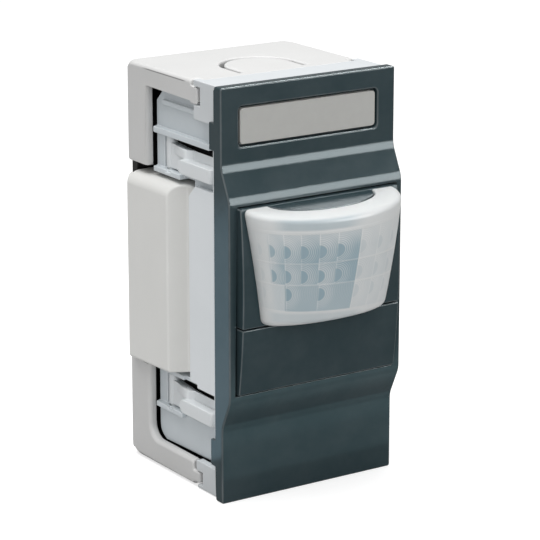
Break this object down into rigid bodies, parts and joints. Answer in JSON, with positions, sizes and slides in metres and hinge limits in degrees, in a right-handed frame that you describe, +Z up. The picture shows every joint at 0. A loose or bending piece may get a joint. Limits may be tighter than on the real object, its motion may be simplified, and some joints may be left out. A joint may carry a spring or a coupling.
{
  "type": "motion sensor light switch",
  "caption": "Narrow clip-in wall module with a bulging segmented motion sensor lens above a push key, a dark front plate with a label window and a pale stepped rear body with side latches.",
  "frame": {"origin": "centre of the front plate's rear face, where the module stops on its support frame", "axes": "+Z up along the plate's height, -Y out of the front towards the room, +X to the viewer's right"},
  "size_m": [0.025, 0.0316, 0.05],
  "materials": {
    "anthracite_plastic": "satin",
    "label_card": "matt",
    "clear_plastic": "clear",
    "lens_plastic": "milky",
    "carrier_plastic": "satin",
    "case_plastic": "satin",
    "housing_plastic": "satin",
    "box_plastic": "satin",
    "latch_plastic": "satin",
    "board_laminate": "lacquered",
    "can_steel": "satin",
    "filter": "polished",
    "clear_resin": "clear",
    "red_resin": "tinted",
    "black_plastic": "matt",
    "cream_plastic": "matt",
    "trimmer_plastic": "matt",
    "pin_brass": "plated",
    "screw_steel": "plated",
    "relay_plastic": "matt",
    "film_plastic": "gloss",
    "sleeve_plastic": "gloss",
    "coil_wire": "lacquered",
    "contact_copper": "plain",
    "spring_steel": "plain",
    "release_plastic": "matt"
  },
  "bodies": {
    "module_body": {"front_plate": "anthracite_plastic", "sensor_bezel": "anthracite_plastic", "label_card": "label_card", "label_window": "clear_plastic", "fresnel_lens": "lens_plastic", "front_carrier": "carrier_plastic", "inner_case": "case_plastic", "rear_housing": "housing_plastic", "terminal_box": "box_plastic", "sensor_board": "board_laminate", "power_board": "board_laminate", "pir_can": "can_steel", "pir_filter": "filter", "light_sensor": "clear_resin", "status_led": "red_resin", "tact_switch": "black_plastic", "controller_chip": "black_plastic", "board_header": "black_plastic", "rectifier_bridge": "black_plastic", "trimmer_bodies": "trimmer_plastic", "header_pins": "pin_brass", "board_screws": "screw_steel", "relay": "relay_plastic", "film_capacitor": "film_plastic", "electrolytic_capacitor": "sleeve_plastic", "choke": "coil_wire", "contact_bars": "contact_copper", "clamp_springs": "spring_steel"},
    "override_key": {"override_key": "anthracite_plastic"},
    "tact_button": {"tact_button": "cream_plastic"},
    "time_dial": {"time_dial": "cream_plastic"},
    "lux_dial": {"lux_dial": "cream_plastic"},
    "latch_upper_left": {"latch_upper_left": "latch_plastic"},
    "latch_upper_right": {"latch_upper_right": "latch_plastic"},
    "latch_lower_left": {"latch_lower_left": "latch_plastic"},
    "latch_lower_right": {"latch_lower_right": "latch_plastic"},
    "release_button_1": {"release_button_1": "release_plastic"},
    "release_button_2": {"release_button_2": "release_plastic"},
    "release_button_3": {"release_button_3": "release_plastic"},
    "release_button_4": {"release_button_4": "release_plastic"}
  },
  "joints": [
    {"name": "key_press", "type": "hinge", "parent": "module_body", "child": "override_key", "pos_m": [0, -0.00185, -0.00468], "axis": [1, 0, 0], "range_deg": [0, 4], "stiffness_Nm_per_rad": 0.15},
    {"name": "tact_press", "type": "slide", "parent": "module_body", "child": "tact_button", "axis": [0, 1, 0], "range_m": [0, 0.00025]},
    {"name": "time_turn", "type": "hinge", "parent": "module_body", "child": "time_dial", "pos_m": [-0.0056, -0.0006, -0.00765], "axis": [0, -1, 0], "range_deg": [-135, 135]},
    {"name": "lux_turn", "type": "hinge", "parent": "module_body", "child": "lux_dial", "pos_m": [0.0056, -0.0006, -0.00765], "axis": [0, -1, 0], "range_deg": [-135, 135]},
    {"name": "upper_left_latch", "type": "hinge", "parent": "module_body", "child": "latch_upper_left", "pos_m": [-0.00985, 0.0129, 0.0147], "axis": [0, 0, 1], "range_deg": [0, 4], "stiffness_Nm_per_rad": 0.3},
    {"name": "upper_right_latch", "type": "hinge", "parent": "module_body", "child": "latch_upper_right", "pos_m": [0.00985, 0.0129, 0.0147], "axis": [0, 0, -1], "range_deg": [0, 4], "stiffness_Nm_per_rad": 0.3},
    {"name": "lower_left_latch", "type": "hinge", "parent": "module_body", "child": "latch_lower_left", "pos_m": [-0.00985, 0.0129, -0.0149], "axis": [0, 0, 1], "range_deg": [0, 4], "stiffness_Nm_per_rad": 0.3},
    {"name": "lower_right_latch", "type": "hinge", "parent": "module_body", "child": "latch_lower_right", "pos_m": [0.00985, 0.0129, -0.0149], "axis": [0, 0, -1], "range_deg": [0, 4], "stiffness_Nm_per_rad": 0.3},
    {"name": "release_1", "type": "slide", "parent": "module_body", "child": "release_button_1", "axis": [0, -1, 0], "range_m": [0, 0.0012], "stiffness_N_per_m": 4000, "deforming": ["clamp_springs"]},
    {"name": "release_2", "type": "slide", "parent": "module_body", "child": "release_button_2", "axis": [0, -1, 0], "range_m": [0, 0.0012], "stiffness_N_per_m": 4000, "deforming": ["clamp_springs"]},
    {"name": "release_3", "type": "slide", "parent": "module_body", "child": "release_button_3", "axis": [0, -1, 0], "range_m": [0, 0.0012], "stiffness_N_per_m": 4000, "deforming": ["clamp_springs"]},
    {"name": "release_4", "type": "slide", "parent": "module_body", "child": "release_button_4", "axis": [0, -1, 0], "range_m": [0, 0.0012], "stiffness_N_per_m": 4000, "deforming": ["clamp_springs"]}
  ],
  "couplings": [
    {"joint": "tact_press", "follows": "key_press", "m_per_rad": 0.0032}
  ]
}
